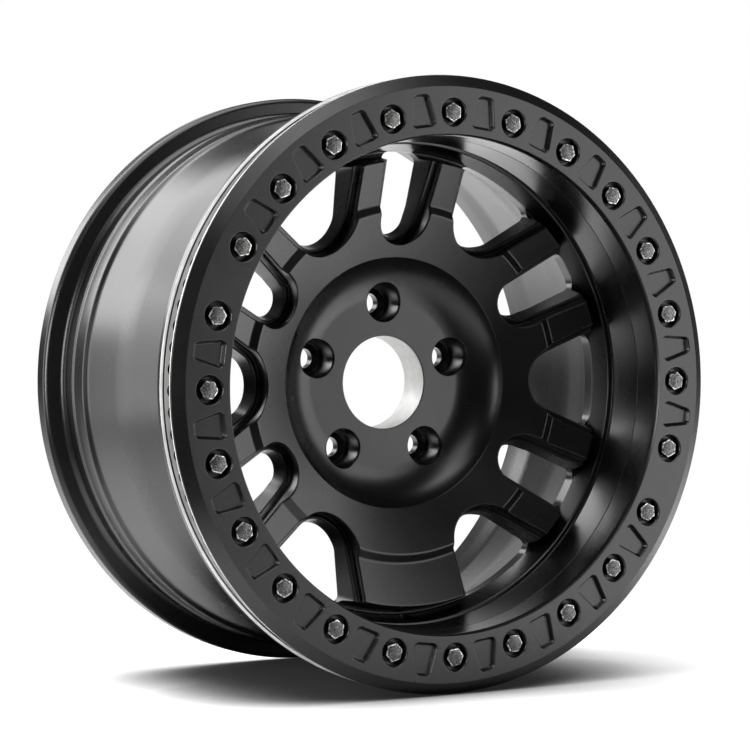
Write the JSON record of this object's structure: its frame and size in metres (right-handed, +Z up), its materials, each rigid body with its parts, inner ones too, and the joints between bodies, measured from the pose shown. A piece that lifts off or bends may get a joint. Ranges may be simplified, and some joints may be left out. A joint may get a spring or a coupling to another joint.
{
  "type": "car wheel",
  "caption": "Off-road car wheel with a bolted clamp ring around the street-side rim, paired spokes, a dished hub with lug holes and a deep barrel for a tyre.",
  "frame": {"origin": "on the wheel axis, in the plane of the hub mounting face", "axes": "+Y along the axle towards the car, -Y out of the street-side face, +Z up with a ring bolt and a lug hole at the top"},
  "size_m": [0.4737, 0.2601, 0.4738],
  "materials": {
    "black_coat": "satin black powder coat over cast aluminium",
    "black_ring": "satin black powder coat over machined aluminium",
    "bolt_steel": "zinc plated, worn edges",
    "washer_steel": "dark zinc"
  },
  "bodies": {
    "root": {"wheel_casting": "black_coat", "beadlock_ring": "black_ring", "ring_bolts": "bolt_steel", "ring_washers": "washer_steel"}
  },
  "joints": []
}
